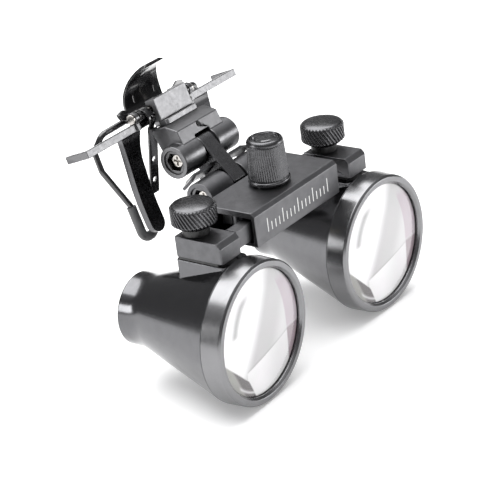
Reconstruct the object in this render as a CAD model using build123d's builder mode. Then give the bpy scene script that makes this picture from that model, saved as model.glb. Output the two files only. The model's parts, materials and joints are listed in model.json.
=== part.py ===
"""Clip-on binocular loupe: two Galilean barrels on a sliding bridge, a double hinge and a spectacle clip.

Frame: origin in the middle of the spectacle clip's jaws, +Z up, lenses face -Y, X runs across the face.
Distances behind the front rims and above the optical axes go through back() and above().
Clip pieces are drawn in the clip's own tilted planes, centred on the upper hinge axis:
local (x, u) on clip_front and local (b, u) on clip_side, with b running back and u running up.
"""
import os
from math import copysign, cos, hypot, pi, radians, sin, sqrt

from build123d import *

os.makedirs("parts", exist_ok=True)

# ---- Overall layout (mm) ----
rim_y = -41.0                 # front plane of the two barrel rims
axis_z = -22.4                # height of the optical axes
rim_x = 25.2                  # half the distance between the rim centres
toe_in = 1.5                  # each barrel converges by this angle (degrees)
clip_tilt = 20.0              # the clip leans back from the barrels' upright (degrees)
upper_y, upper_z = -8.3, 8.3      # upper hinge axis, along X
lower_y, lower_z = -15.6, 0.55    # lower hinge axis, along X
running_gap = 0.05            # radial clearance of every turning fit

# ---- Barrel ----
rim_r, seam_r = 17.0, 17.2    # bezel radius at the front and at its seam
bezel_len = 5.24
barrel_len = 35.76
rear_r = 8.76                 # plain rear section
rear_len = 3.0
flare_r = 12.0                # concave flare between the cone and the rear section
aperture_r = 14.9             # opening of the bezel
lens_r = 15.35
eye_lens_r = 6.6
wall = 1.25
pedestal_top = 16.8           # above the optical axis
pedestal_x0, pedestal_x1 = 20.5, 29.3
pedestal_y1 = 19.6            # behind the rim

# ---- Bridge, sliders, clamp screws ----
bridge_x = 16.6
bridge_front, bridge_rear = 5.7, 20.7       # behind the rim
bridge_low, bridge_top = 16.4, 24.7         # above the axis
bridge_wall, bridge_roof, cover_t = 1.0, 1.4, 0.9
knob_y = 13.2
clamp_x, clamp_y = 25.6, 15.5
block_x0, block_x1 = 22.0, 29.3
block_front, block_rear = 6.05, 19.2
block_low, block_top = 17.6, 22.5
pad_front, pad_rear = 7.6, 18.9              # slip pad between the block and the pedestal
tongue_reach = 11.5           # a tongue ends this far beyond the bridge's middle
tongue_low, tongue_high = 18.0, 22.4
stud_r = 1.5
stud_foot, stud_top = 13.5, 28.5

# ---- Rack and pinion ----
module = 0.5
pinion_teeth = 10
tooth_w = 0.56                # tooth width on the pitch line, thinned for backlash
pitch_r = module * pinion_teeth / 2
tooth_pitch = pi * module
addendum, dedendum = 0.42, 0.62
tongue_face = pitch_r + dedendum            # root line of a rack, from the pinion axis

# ---- Hinges ----
knuckle_r = 4.0
link_half, washer_x = 2.35, 2.7
upper_half, lower_half = 10.3, 11.2
pin_r = 1.5
link_front, link_foot = 3.7, 1.45
recess_r, recess_depth = 2.9, 2.6

# ---- Clip ----
bar_half, bar_low, bar_high = 28.3, 9.76, 11.55
bar_front, bar_rear = 6.3, 7.5
prong_out, prong_end = 16.5, -14.2
pivot_b, pivot_u = 6.5, 12.8
pivot_r = 0.8
wire_r, sleeve_r = 0.75, 1.15


def back(distance):
    """Y of a point this far behind the front rims."""
    return rim_y + distance


def above(height):
    """Z of a point this far above the optical axes."""
    return axis_z + height


def level(height):
    """Horizontal plane this far above the optical axes."""
    return Plane.XY.offset(above(height))


def dome(radius, vertex, edge):
    """Spherical arc in (r, d) coordinates, from its vertex on the axis to its edge."""
    sag = edge - vertex
    sphere_r = (radius ** 2 + sag ** 2) / (2 * abs(sag))
    middle = radius / 2
    rise = copysign(sphere_r - sqrt(sphere_r ** 2 - middle ** 2), sag)
    return ThreePointArc((0, vertex), (middle, vertex + rise), (radius, edge))


def save(piece, name):
    """Label a finished piece and write its STEP file."""
    piece.part.label = name
    export_step(piece.part, f"parts/{name}.step")


tilt_sin, tilt_cos = sin(radians(clip_tilt)), cos(radians(clip_tilt))
upper_axis = (0, upper_y, upper_z)
clip_front = Plane(origin=upper_axis, x_dir=(1, 0, 0), z_dir=(0, -tilt_cos, tilt_sin))
clip_side = Plane(origin=upper_axis, x_dir=(0, tilt_cos, -tilt_sin), z_dir=(1, 0, 0))

link_len = hypot(upper_y - lower_y, upper_z - lower_z)
link_dir = (0, (upper_y - lower_y) / link_len, (upper_z - lower_z) / link_len)
link_side = Plane(origin=(0, lower_y, lower_z), x_dir=link_dir, z_dir=(1, 0, 0))
side = Plane(origin=(0, 0, 0), x_dir=(0, 1, 0), z_dir=(1, 0, 0))        # local (y, z)


def clip_point(x, b, u):
    """World point of clip coordinates: x across, b back and u up from the upper hinge axis."""
    return (x, upper_y + b * tilt_cos + u * tilt_sin, upper_z - b * tilt_sin + u * tilt_cos)


# =====================================================================================
# Barrels: each side's casting, bezel, lenses, seal, baffle and retaining ring
# =====================================================================================
flare_start = barrel_len - rear_len          # where the rear section begins, behind the rim
cone_angle = 18.25
flare_dx = flare_r * sin(radians(cone_angle))
flare_dr = flare_r * (1 - cos(radians(cone_angle)))
cone_end = (rear_r + flare_dr, flare_start - flare_dx)
spigot_r, spigot_front = 16.2, 2.5
seat_r, seat_depth, shoulder_r = 15.45, 4.6, 14.4
eye_seat, eye_stop_r = 30.6, 5.8

for side_name, s in (("left", -1), ("right", 1)):
    toe_sin, toe_cos = s * sin(radians(toe_in)), cos(radians(toe_in))
    rim_centre = (s * rim_x, rim_y, axis_z)
    optic_axis = Axis(rim_centre, (toe_sin, toe_cos, 0))
    meridian = Plane(origin=rim_centre, x_dir=(0, 0, 1), z_dir=(-toe_cos, toe_sin, 0))   # local (r, d)
    clamp_spot = (s * clamp_x, back(clamp_y))

    with BuildPart() as barrel:
        with BuildSketch(meridian):
            with BuildLine():
                Polyline((0, spigot_front), (spigot_r, spigot_front), (spigot_r, bezel_len),
                         (seam_r, bezel_len), cone_end)
                flare_mid = (rear_r + flare_r * (1 - cos(radians(cone_angle / 2))),
                             flare_start - flare_r * sin(radians(cone_angle / 2)))
                ThreePointArc(cone_end, flare_mid, (rear_r, flare_start))
                Polyline((rear_r, flare_start), (rear_r, barrel_len - 0.4),
                         (rear_r - 0.4, barrel_len), (0, barrel_len), (0, spigot_front))
            make_face()
        revolve(axis=optic_axis)
        with BuildSketch(level(pedestal_top)):
            with Locations((s * (pedestal_x0 + pedestal_x1) / 2, back((bridge_front + pedestal_y1) / 2))):
                RectangleRounded(pedestal_x1 - pedestal_x0, pedestal_y1 - bridge_front, 1.0)
        extrude(amount=-(pedestal_top - 9.0))
        with BuildSketch(meridian):
            with BuildLine():
                Polyline((0, spigot_front), (seat_r, spigot_front), (seat_r, seat_depth),
                         (shoulder_r, seat_depth), (shoulder_r, seat_depth + 1.2),
                         (seam_r - wall - 0.6, seat_depth + 1.8),
                         (cone_end[0] - wall, cone_end[1]), (eye_stop_r + 1.0, eye_seat - 1.1),
                         (eye_stop_r, eye_seat - 0.6), (eye_stop_r, eye_seat),
                         (eye_lens_r + running_gap, eye_seat), (eye_lens_r + running_gap, barrel_len),
                         (0, barrel_len), (0, spigot_front))
            make_face()
        revolve(axis=optic_axis, mode=Mode.SUBTRACT)
        with BuildSketch(level(pedestal_top)):
            with Locations(clamp_spot):
                Circle(stud_r + running_gap)
        extrude(amount=stud_foot - 0.3 - pedestal_top, mode=Mode.SUBTRACT)
    save(barrel, f"{side_name}_barrel")

    with BuildPart() as bezel:
        with BuildSketch(meridian):
            with BuildLine():
                Polyline((aperture_r + 0.5, 0), (rim_r - 0.5, 0), (rim_r, 0.5), (seam_r, bezel_len - 0.06),
                         (spigot_r + 0.03, bezel_len - 0.06), (spigot_r + 0.03, spigot_front - 0.1),
                         (lens_r + 0.12, spigot_front - 0.1), (lens_r + 0.12, 1.05), (aperture_r, 1.05),
                         (aperture_r, 0.6), (aperture_r + 0.5, 0))
            make_face()
        revolve(axis=optic_axis)
    save(bezel, f"{side_name}_bezel")

    with BuildPart() as objective:
        with BuildSketch(meridian):
            with BuildLine():
                dome(lens_r, 0.3, 1.25)
                Polyline((lens_r, 1.25), (lens_r, 4.25), (0, 4.25), (0, 0.3))
            make_face()
        revolve(axis=optic_axis)
    save(objective, f"{side_name}_objective")

    with BuildPart() as seal:
        with BuildSketch(meridian):
            with Locations(((shoulder_r + lens_r) / 2, 4.43)):
                Rectangle(lens_r - shoulder_r - 0.1, 0.3)
        revolve(axis=optic_axis)
    save(seal, f"{side_name}_seal")

    with BuildPart() as baffle:
        with BuildSketch(meridian):
            with BuildLine():
                Polyline((8.2, 17.6), (11.65, 17.6), (11.45, 18.3), (8.4, 18.3), (8.2, 17.6))
            make_face()
        revolve(axis=optic_axis)
    save(baffle, f"{side_name}_baffle")

    with BuildPart() as eye_lens:
        with BuildSketch(meridian):
            with BuildLine():
                dome(eye_lens_r, 31.5, 30.65)
                Line((eye_lens_r, 30.65), (eye_lens_r, 33.5))
                dome(eye_lens_r, 32.7, 33.5)
                Line((0, 32.7), (0, 31.5))
            make_face()
        revolve(axis=optic_axis)
    save(eye_lens, f"{side_name}_eye_lens")

    with BuildPart() as eye_ring:
        with BuildSketch(meridian):
            with Locations(((eye_lens_r + 5.5) / 2, 34.15)):
                Rectangle(eye_lens_r - 5.5, 1.2)
        revolve(axis=optic_axis)
        ring_face = Plane(origin=optic_axis.position + optic_axis.direction * 34.75,
                          x_dir=(0, 0, 1), z_dir=optic_axis.direction)
        with BuildSketch(ring_face):
            Rectangle(2 * eye_lens_r + 1, 1.0)
        extrude(amount=-0.5, mode=Mode.SUBTRACT)
    save(eye_ring, f"{side_name}_eye_ring")

    # ---- Slider: end block, tongue and rack; the left tongue runs in front of the pinion ----
    rack_root = back(knob_y) + s * tongue_face
    with BuildPart() as slider:
        with BuildSketch(level(block_low)):
            with Locations((s * (block_x0 + block_x1) / 2, back((block_front + block_rear) / 2))):
                Rectangle(block_x1 - block_x0, block_rear - block_front)
        extrude(amount=block_top - block_low)
        front_top = slider.edges().filter_by(Axis.X).group_by(Axis.Z)[-1].sort_by(Axis.Y)[0]
        chamfer(front_top, length=1.15)
        chamfer(slider.edges().filter_by(Axis.Z), length=0.35)
        with BuildSketch(level(tongue_low)):
            with Locations((s * (block_x0 + 0.5 - tongue_reach) / 2, rack_root + s * 1.45)):
                Rectangle(block_x0 + 0.5 + tongue_reach, 2.9)
        extrude(amount=tongue_high - tongue_low)
        with BuildSketch(level(tongue_low + 0.2)):
            for step in range(-6, 4):
                tooth_x = step * tooth_pitch * s
                half_root, half_tip = tooth_w / 2 + 0.22, tooth_w / 2 - 0.15
                tip_y, root_y = rack_root - s * (addendum + dedendum), rack_root + s * 0.2
                with BuildLine():
                    Polyline((tooth_x - half_root, root_y), (tooth_x + half_root, root_y),
                             (tooth_x + half_tip, tip_y), (tooth_x - half_tip, tip_y),
                             (tooth_x - half_root, root_y))
                make_face()
        extrude(amount=tongue_high - tongue_low - 0.4)
        with BuildSketch(level(block_top)):
            with Locations(clamp_spot):
                Circle(stud_r + running_gap)
        extrude(amount=-(block_top - block_low), mode=Mode.SUBTRACT)
    save(slider, f"{side_name}_slider")

    with BuildPart() as washer:
        with BuildSketch(level(pedestal_top + 0.06)):
            with Locations((s * (block_x0 + block_x1) / 2, back((pad_front + pad_rear) / 2))):
                Rectangle(block_x1 - block_x0 - 0.6, pad_rear - pad_front)
            with Locations(clamp_spot):
                Circle(stud_r + 0.1, mode=Mode.SUBTRACT)
        extrude(amount=block_low - pedestal_top - 0.06)
    save(washer, f"{side_name}_swivel_washer")

    with BuildPart() as collar:
        with BuildSketch(level(block_top)):
            with Locations(clamp_spot):
                Circle(3.15)
                Circle(stud_r + 0.1, mode=Mode.SUBTRACT)
        extrude(amount=1.8)
        fillet(collar.edges().filter_by(GeomType.CIRCLE).group_by(Axis.Z)[-1].sort_by(SortBy.RADIUS)[-1], 0.3)
    save(collar, f"{side_name}_clamp_collar")

    # ---- Clamp screw: knurled head and stud, turning about a vertical axis ----
    clamp_section = Plane(origin=(s * clamp_x, back(clamp_y), above(0)), x_dir=(1, 0, 0), z_dir=(0, -1, 0))
    clamp_axis = Axis((s * clamp_x, back(clamp_y), 0), (0, 0, 1))
    head_low, head_top, head_r, flutes = 24.4, 30.2, 5.35, 40
    band_top, dome_edge = head_low + 4.7, head_low + 5.15
    with BuildPart() as head:
        with BuildSketch(clamp_section):
            with BuildLine():
                Polyline((stud_r + 0.02, head_low), (3.9, head_low), (head_r, head_low + 1.1),
                         (head_r, band_top), (head_r - 0.5, dome_edge))
                dome(head_r - 0.5, head_top, dome_edge)
                Polyline((0, head_top), (0, stud_top + 0.1), (stud_r + 0.02, stud_top + 0.1), (stud_r + 0.02, head_low))
            make_face()
        revolve(axis=clamp_axis)
        with BuildSketch(level(head_low)):
            with Locations(clamp_spot):
                with PolarLocations(head_r + 0.12, flutes):
                    Circle(0.3)
        extrude(amount=band_top - head_low, mode=Mode.SUBTRACT)
    save(head, f"{side_name}_clamp_head")

    with BuildPart() as stud:
        with BuildSketch(level(stud_foot)):
            with Locations(clamp_spot):
                Circle(stud_r)
        extrude(amount=stud_top - stud_foot)
        chamfer(stud.edges().group_by(Axis.Z)[0], length=0.4)
    save(stud, f"{side_name}_clamp_stud")

# =====================================================================================
# Bridge: housing with the lower knuckles, bottom cover, screws, knob and pinion
# =====================================================================================
knob_spot = (0, back(knob_y))
post_x = 12.6
post_spots = [(-post_x, back(knob_y)), (post_x, back(knob_y))]
roof_low = bridge_top - bridge_roof
bush_flange = 0.5

with BuildPart() as bridge:
    with BuildSketch(side):
        with BuildLine():
            Polyline((back(bridge_front), above(bridge_low)), (back(bridge_front), above(bridge_top - 0.9)),
                     (back(bridge_front + 0.9), above(bridge_top)), (back(bridge_rear), above(bridge_top)),
                     (back(bridge_rear), above(bridge_low)), (back(bridge_front), above(bridge_low)))
        make_face()
    extrude(amount=bridge_x, both=True)
    with BuildSketch(side):
        with BuildLine():
            Polyline((back(bridge_rear - 0.5), above(bridge_low + 1.6)), (lower_y, lower_z - knuckle_r),
                     (lower_y, lower_z), (back(bridge_rear - 0.5), above(bridge_top - 0.3)),
                     (back(bridge_rear - 0.5), above(bridge_low + 1.6)))
        make_face()
        with Locations((lower_y, lower_z)):
            Circle(knuckle_r)
    extrude(amount=lower_half, both=True)
    with BuildSketch(side):
        with Locations((lower_y, lower_z)):
            Circle(knuckle_r + 0.55)
    extrude(amount=washer_x, both=True, mode=Mode.SUBTRACT)
    with BuildSketch(side):
        with Locations((lower_y, lower_z)):
            Circle(pin_r + running_gap)
    extrude(amount=lower_half, both=True, mode=Mode.SUBTRACT)
    for end in (-1, 1):
        with BuildSketch(side.offset(end * lower_half)):
            with Locations((lower_y, lower_z)):
                Circle(recess_r)
        extrude(amount=-end * recess_depth, mode=Mode.SUBTRACT)
    with BuildSketch(level(bridge_low)):
        with Locations(knob_spot):
            Rectangle(2 * bridge_x, bridge_rear - bridge_front - 2 * bridge_wall)
    extrude(amount=roof_low - bridge_low, mode=Mode.SUBTRACT)
    with BuildSketch(level(bridge_low + cover_t)):
        with Locations(*post_spots):
            Circle(1.6)
    extrude(amount=roof_low - bridge_low - cover_t)
    with BuildSketch(level(bridge_low + cover_t)):
        with Locations(*post_spots):
            Circle(0.8)
    extrude(amount=3.6, mode=Mode.SUBTRACT)
    with BuildSketch(level(roof_low)):
        with Locations(knob_spot):
            Circle(2.6)
    extrude(amount=bridge_roof, mode=Mode.SUBTRACT)
save(bridge, "bridge_housing")

with BuildPart() as cover:
    with BuildSketch(level(bridge_low)):
        with Locations(knob_spot):
            Rectangle(2 * bridge_x - 0.2, bridge_rear - bridge_front - 2 * bridge_wall - 0.04)
            Circle(stud_r + running_gap, mode=Mode.SUBTRACT)
        with Locations(*post_spots):
            Circle(0.85, mode=Mode.SUBTRACT)
    extrude(amount=cover_t)
    with BuildSketch(level(bridge_low)):
        with Locations(*post_spots):
            Circle(1.5)
    extrude(amount=0.5, mode=Mode.SUBTRACT)
save(cover, "bridge_cover")

with BuildPart() as cover_screws:
    with BuildSketch(level(bridge_low)):
        with Locations(*post_spots):
            Circle(1.45)
    extrude(amount=0.48)
    with BuildSketch(level(bridge_low)):
        with Locations(*post_spots):
            Circle(0.78)
    extrude(amount=4.2)
    with BuildSketch(level(bridge_low)):
        with Locations(*post_spots):
            Rectangle(1.8, 0.4)
            Rectangle(0.4, 1.8)
    extrude(amount=0.25, mode=Mode.SUBTRACT)
save(cover_screws, "cover_screws")

with BuildPart() as bush:
    with BuildSketch(level(roof_low)):
        with Locations(knob_spot):
            Circle(2.58)
    extrude(amount=bridge_roof)
    with BuildSketch(level(bridge_top)):
        with Locations(knob_spot):
            Circle(4.0)
    extrude(amount=bush_flange)
    with BuildSketch(level(roof_low)):
        with Locations(knob_spot):
            Circle(stud_r + running_gap)
    extrude(amount=bridge_roof + bush_flange, mode=Mode.SUBTRACT)
save(bush, "knob_bush")

with BuildPart() as pinion:
    with BuildSketch(level(bridge_low + 0.1)):
        with Locations(knob_spot):
            Circle(stud_r)
    extrude(amount=33.5 - bridge_low - 0.1)
    with BuildSketch(level(tongue_low + 0.1)):
        with Locations(knob_spot):
            Circle(pitch_r - dedendum)
    extrude(amount=tongue_high - tongue_low - 0.2)
    for tooth in range(pinion_teeth):
        tooth_plane = Plane(origin=(knob_spot[0], knob_spot[1], above(tongue_low + 0.1)),
                            x_dir=(cos(2 * pi * tooth / pinion_teeth), sin(2 * pi * tooth / pinion_teeth), 0),
                            z_dir=(0, 0, 1))
        with BuildSketch(tooth_plane):
            with BuildLine():
                Polyline((pitch_r - dedendum - 0.3, -0.38), (pitch_r, -tooth_w / 2),
                         (pitch_r + addendum, -0.12), (pitch_r + addendum, 0.12),
                         (pitch_r, tooth_w / 2), (pitch_r - dedendum - 0.3, 0.38),
                         (pitch_r - dedendum - 0.3, -0.38))
            make_face()
        extrude(amount=tongue_high - tongue_low - 0.2)
save(pinion, "pinion_shaft")

knob_low, knob_top, knob_base_r, knob_tip_r, knob_flutes = 25.4, 36.0, 5.0, 4.3, 48
knob_section = Plane(origin=(0, back(knob_y), above(0)), x_dir=(1, 0, 0), z_dir=(0, -1, 0))
knob_axis = Axis((0, back(knob_y), 0), (0, 0, 1))
with BuildPart() as knob:
    with BuildSketch(knob_section):
        with BuildLine():
            Polyline((stud_r + 0.02, knob_low), (knob_base_r, knob_low), (knob_base_r, knob_low + 0.7),
                     (knob_base_r - 0.2, knob_low + 0.9), (knob_base_r - 0.2, knob_low + 1.1),
                     (knob_tip_r + 0.1, knob_top - 2.0), (knob_tip_r, knob_top - 0.7),
                     (knob_tip_r - 0.5, knob_top), (3.5, knob_top), (3.4, knob_top - 0.9),
                     (0, knob_top - 0.9), (0, 33.6), (stud_r + 0.02, 33.6), (stud_r + 0.02, knob_low))
        make_face()
    revolve(axis=knob_axis)
    with BuildSketch(level(knob_low + 1.1)):
        with Locations(knob_spot):
            with PolarLocations(knob_base_r + 0.02, knob_flutes):
                Circle(0.2)
    extrude(amount=knob_top - knob_low - 3.1, mode=Mode.SUBTRACT)
save(knob, "focus_knob")

with BuildPart() as knob_cap:
    with BuildSketch(level(knob_top - 0.9)):
        with Locations(knob_spot):
            Circle(3.35)
    extrude(amount=0.75)
    with BuildSketch(level(knob_top - 0.15)):
        with Locations(knob_spot):
            with PolarLocations(2.75, 4):
                Rectangle(0.5, 2.0)
    extrude(amount=-0.4, mode=Mode.SUBTRACT)
save(knob_cap, "knob_cap")

with BuildPart() as clip_ring:
    with BuildSketch(level(tongue_high + 0.02)):
        with Locations(knob_spot):
            Circle(2.3)
            Circle(stud_r + 0.02, mode=Mode.SUBTRACT)
        with Locations((0, back(knob_y) - 2.0)):
            Rectangle(1.4, 1.6, mode=Mode.SUBTRACT)
    extrude(amount=0.22)
save(clip_ring, "pinion_circlip")

# =====================================================================================
# Link between the two hinge axes, its stop leaf, and the hinge screws
# =====================================================================================
leaf_mid, leaf_t, leaf_half, leaf_tip = link_len / 2, 0.8, 9.0, 11.0
with BuildPart() as link:
    with BuildSketch(link_side):
        Circle(link_front)
        with Locations((link_len, 0)):
            Circle(link_front)
        with BuildLine():
            Polyline((-link_foot, 0), (-link_foot, link_front), (link_len, link_front),
                     (link_len, -2.8), (0, -2.8), (-link_foot, 0))
        make_face()
    extrude(amount=link_half, both=True)
    with BuildSketch(link_side):
        with Locations((0, 0), (link_len, 0)):
            Circle(pin_r + running_gap)
    extrude(amount=link_half, both=True, mode=Mode.SUBTRACT)
    with BuildSketch(link_side):
        with Locations((leaf_mid, -1.4)):
            Rectangle(leaf_t + 0.04, 6.6)
    extrude(amount=link_half, both=True, mode=Mode.SUBTRACT)
save(link, "hinge_link")

leaf_plane = Plane(origin=link_side.from_local_coords((leaf_mid - leaf_t / 2, 0, 0)),
                   x_dir=(1, 0, 0), z_dir=link_dir)      # local (x, -n): the leaf lies across the link
with BuildPart() as leaf:
    with BuildSketch(leaf_plane):
        with Locations((0, 0.45)):
            Rectangle(2 * leaf_half, 4.6)
        with Locations((0, 1.4)):
            Rectangle(2 * link_half, 6.4)
    extrude(amount=leaf_t)
    for end in (-1, 1):
        tip_side = Plane(origin=link_side.from_local_coords((0, 1.85, 0)), x_dir=(1, 0, 0),
                         z_dir=link_side.y_dir * -1)
        with BuildSketch(tip_side):
            with BuildLine():
                Polyline((end * (leaf_half - 0.01), leaf_mid * -1 + leaf_t / 2),
                         (end * leaf_tip, leaf_mid * -1 + leaf_t / 2 + 0.8),
                         (end * (leaf_tip + 0.25), leaf_mid * -1 - leaf_t / 2 + 0.9),
                         (end * (leaf_half - 0.01), leaf_mid * -1 - leaf_t / 2),
                         (end * (leaf_half - 0.01), leaf_mid * -1 + leaf_t / 2))
            make_face()
        extrude(amount=4.2)
save(leaf, "stop_leaf")

for hinge, y0, z0, half in (("upper", upper_y, upper_z, upper_half), ("lower", lower_y, lower_z, lower_half)):
    shoulder = half - recess_depth
    with BuildPart() as hinge_screw:
        with BuildSketch(side.offset(-shoulder)):
            with Locations((y0, z0)):
                Circle(1.55)
        extrude(amount=-1.2)
        with BuildSketch(side.offset(-shoulder)):
            with Locations((y0, z0)):
                Circle(pin_r)
        extrude(amount=2 * shoulder + 1.0)
        with BuildSketch(side.offset(-shoulder - 1.2)):
            with Locations((y0, z0)):
                Rectangle(2.2, 0.45)
                Rectangle(0.45, 2.2)
        extrude(amount=0.6, mode=Mode.SUBTRACT)
    save(hinge_screw, f"{hinge}_hinge_screw")

    with BuildPart() as hinge_nut:
        with BuildSketch(side.offset(shoulder + 0.02)):
            with Locations((y0, z0)):
                RegularPolygon(2.1, 6)
                Circle(pin_r + 0.02, mode=Mode.SUBTRACT)
        extrude(amount=1.2)
    save(hinge_nut, f"{hinge}_hinge_nut")

    with BuildPart() as sockets:
        for end in (-1, 1):
            with BuildSketch(side.offset(end * (shoulder + 0.02))):
                with Locations((y0, z0)):
                    Circle(recess_r - 0.02)
                    RegularPolygon(2.35, 6, mode=Mode.SUBTRACT)
            extrude(amount=end * 2.1)
    save(sockets, f"{hinge}_socket_rings")

    with BuildPart() as spacers:
        for end in (-1, 1):
            with BuildSketch(side.offset(end * (link_half + 0.05))):
                with Locations((y0, z0)):
                    Circle(3.4)
                    Circle(pin_r + 0.1, mode=Mode.SUBTRACT)
            extrude(amount=end * (washer_x - link_half - 0.07))
    save(spacers, f"{hinge}_hinge_washers")

# =====================================================================================
# Clip: hinge bracket, base, block, frame with bars and prongs, strips and pivot pin
# =====================================================================================
plate_low, plate_high = 8.36, 9.72
plate_front = 1.0
screw_r, screw_foot = 0.7, 5.2                    # the two screws through the base into the bracket
screw_seats = [Plane(origin=clip_point(x, 3.0, screw_foot), x_dir=(1, 0, 0), z_dir=(0, tilt_sin, tilt_cos))
               for x in (-3.6, 3.6)]

with BuildPart() as bracket:
    with BuildSketch(clip_side):
        with BuildLine():
            Polyline((-2.65, 2.6), (-2.4, 6.5), (0.7, plate_low - 0.04), (5.4, plate_low - 0.04),
                     (4.6, 3.0), (3.2, 2.0), (-2.65, 2.6))
        make_face()
    extrude(amount=7.7, both=True)
    with BuildSketch(clip_side):
        Circle(knuckle_r)
    extrude(amount=upper_half, both=True)
    with BuildSketch(clip_side):
        Circle(knuckle_r + 0.55)
    extrude(amount=washer_x, both=True, mode=Mode.SUBTRACT)
    with BuildSketch(clip_side):
        Circle(pin_r + running_gap)
    extrude(amount=upper_half, both=True, mode=Mode.SUBTRACT)
    for end in (-1, 1):
        with BuildSketch(clip_side.offset(end * upper_half)):
            Circle(recess_r)
        extrude(amount=-end * recess_depth, mode=Mode.SUBTRACT)
    with BuildSketch(clip_front.offset(3.0)):
        with Locations((0, 5.6)):
            Circle(0.55)
    extrude(amount=-2.6, mode=Mode.SUBTRACT)
    for seat in screw_seats:
        with BuildSketch(seat):
            Circle(screw_r + 0.02)
        extrude(amount=plate_high - screw_foot, mode=Mode.SUBTRACT)
save(bracket, "hinge_bracket")

with BuildPart() as set_screw:
    with BuildSketch(clip_front.offset(1.9)):
        with Locations((0, 5.6)):
            Circle(0.53)
    extrude(amount=-1.4)
    with BuildSketch(clip_front.offset(1.9)):
        with Locations((0, 5.6)):
            RegularPolygon(0.28, 6)
    extrude(amount=-0.6, mode=Mode.SUBTRACT)
save(set_screw, "friction_set_screw")

with BuildPart() as base:
    with BuildSketch(clip_front.offset(-plate_front)):
        with BuildLine():
            Polyline((-5.8, plate_low), (5.8, plate_low), (5.8, plate_high), (-5.8, plate_high),
                     (-5.8, plate_low))
        make_face()
    extrude(amount=-3.2)
    chamfer(base.edges().filter_by(lambda edge: abs(edge.length - (plate_high - plate_low)) < 1e-6), 0.5)
    with BuildSketch(clip_front.offset(-plate_front - 3.2)):
        with Locations((0, (plate_low + plate_high) / 2)):
            Rectangle(9.6, plate_high - plate_low)
    extrude(amount=-(bar_front - plate_front - 3.2) + 0.02)
    for seat in screw_seats:
        with BuildSketch(seat):
            Circle(screw_r + 0.02)
        extrude(amount=plate_high - screw_foot, mode=Mode.SUBTRACT)
save(base, "clip_base")

with BuildPart() as block:
    with BuildSketch(clip_side):
        with BuildLine():
            Polyline((2.35, 10.0), (2.25, 15.2), (5.2, 15.2), (5.2, 14.2), (3.6, 14.2), (3.6, 11.2),
                     (4.9, 11.2), (4.9, 9.74), (2.35, 9.74), (2.35, 10.0))
        make_face()
    extrude(amount=6.0, both=True)
    with BuildSketch(clip_front.offset(-6.0)):
        with Locations((-0.4, 15.2)):
            Rectangle(5.2, 1.5)
    extrude(amount=2.2, mode=Mode.SUBTRACT)
save(block, "clip_block")

with BuildPart() as frame:
    with BuildSketch(clip_side):
        with BuildLine():
            Spline((6.3, 11.4), (7.7, 3.0), (9.1, -6.0), (9.3, prong_end), tangents=((0.12, -1), (-0.02, -1)))
            Line((9.3, prong_end), (11.2, prong_end))
            Spline((11.2, prong_end), (11.0, -6.0), (9.6, 3.0), (8.0, 11.4), tangents=((-0.02, 1), (-0.12, 1)))
            Line((8.0, 11.4), (6.3, 11.4))
        make_face()
    extrude(amount=prong_out, both=True)
    with BuildSketch(clip_front.offset(-12.0)):
        for end in (-1, 1):
            with BuildLine():
                Polyline((end * 9.6, 11.4), (end * prong_out, 11.4), (end * prong_out, 9.4),
                         (end * (prong_out - 0.3), 3.0), (end * (prong_out - 0.6), prong_end + 2.4))
                ThreePointArc((end * (prong_out - 0.6), prong_end + 2.4), (end * 13.5, prong_end),
                              (end * 11.1, prong_end + 2.4))
                Line((end * 11.1, prong_end + 2.4), (end * 11.3, 1.0))
                ThreePointArc((end * 11.3, 1.0), (end * 11.0, 6.0), (end * 9.6, 9.4))
                Line((end * 9.6, 9.4), (end * 9.6, 11.4))
            make_face()
    extrude(amount=8.0, mode=Mode.INTERSECT)
    with BuildSketch(clip_front.offset(-bar_rear)):
        with Locations((0, (bar_low + bar_high) / 2)):
            Rectangle(2 * bar_half, bar_high - bar_low)
    extrude(amount=bar_rear - bar_front)
    with BuildSketch(clip_front.offset(-13.8)):
        with Locations((-(bar_half - 0.6), (bar_low + bar_high) / 2), (bar_half - 0.6, (bar_low + bar_high) / 2)):
            Rectangle(1.2, bar_high - bar_low)
    extrude(amount=13.8 - bar_front)
    for end in (-1, 1):
        with BuildSketch(clip_side.offset(end * 9.6)):
            with Locations((pivot_b, pivot_u)):
                Circle(1.5)
            with Locations((6.9, 10.9)):
                Rectangle(2.2, 2.4)
        extrude(amount=end * 1.2)
    with BuildSketch(clip_side):
        with Locations((pivot_b, pivot_u)):
            Circle(pivot_r + 0.02)
    extrude(amount=12.0, both=True, mode=Mode.SUBTRACT)
    with BuildSketch(clip_front.offset(-bar_rear - 1)):
        with Locations((0, 12.0)):
            Rectangle(18.8, 2.0)
    extrude(amount=4.0, mode=Mode.SUBTRACT)
save(frame, "clip_frame")

with BuildPart() as pivot_pin:
    with BuildSketch(clip_side.offset(-11.2)):
        with Locations((pivot_b, pivot_u)):
            Circle(pivot_r)
    extrude(amount=22.4)
    for end in (-1, 1):
        with BuildSketch(clip_side.offset(end * 10.85)):
            with Locations((pivot_b, pivot_u)):
                Circle(1.25)
        extrude(amount=end * 0.5)
save(pivot_pin, "pivot_pin")

with BuildPart() as spring:
    with BuildSketch(clip_side.offset(-4.2)):
        with Locations((pivot_b, pivot_u)):
            Circle(1.45)
            Circle(1.0, mode=Mode.SUBTRACT)
    extrude(amount=8.4)
save(spring, "lever_spring")

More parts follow.
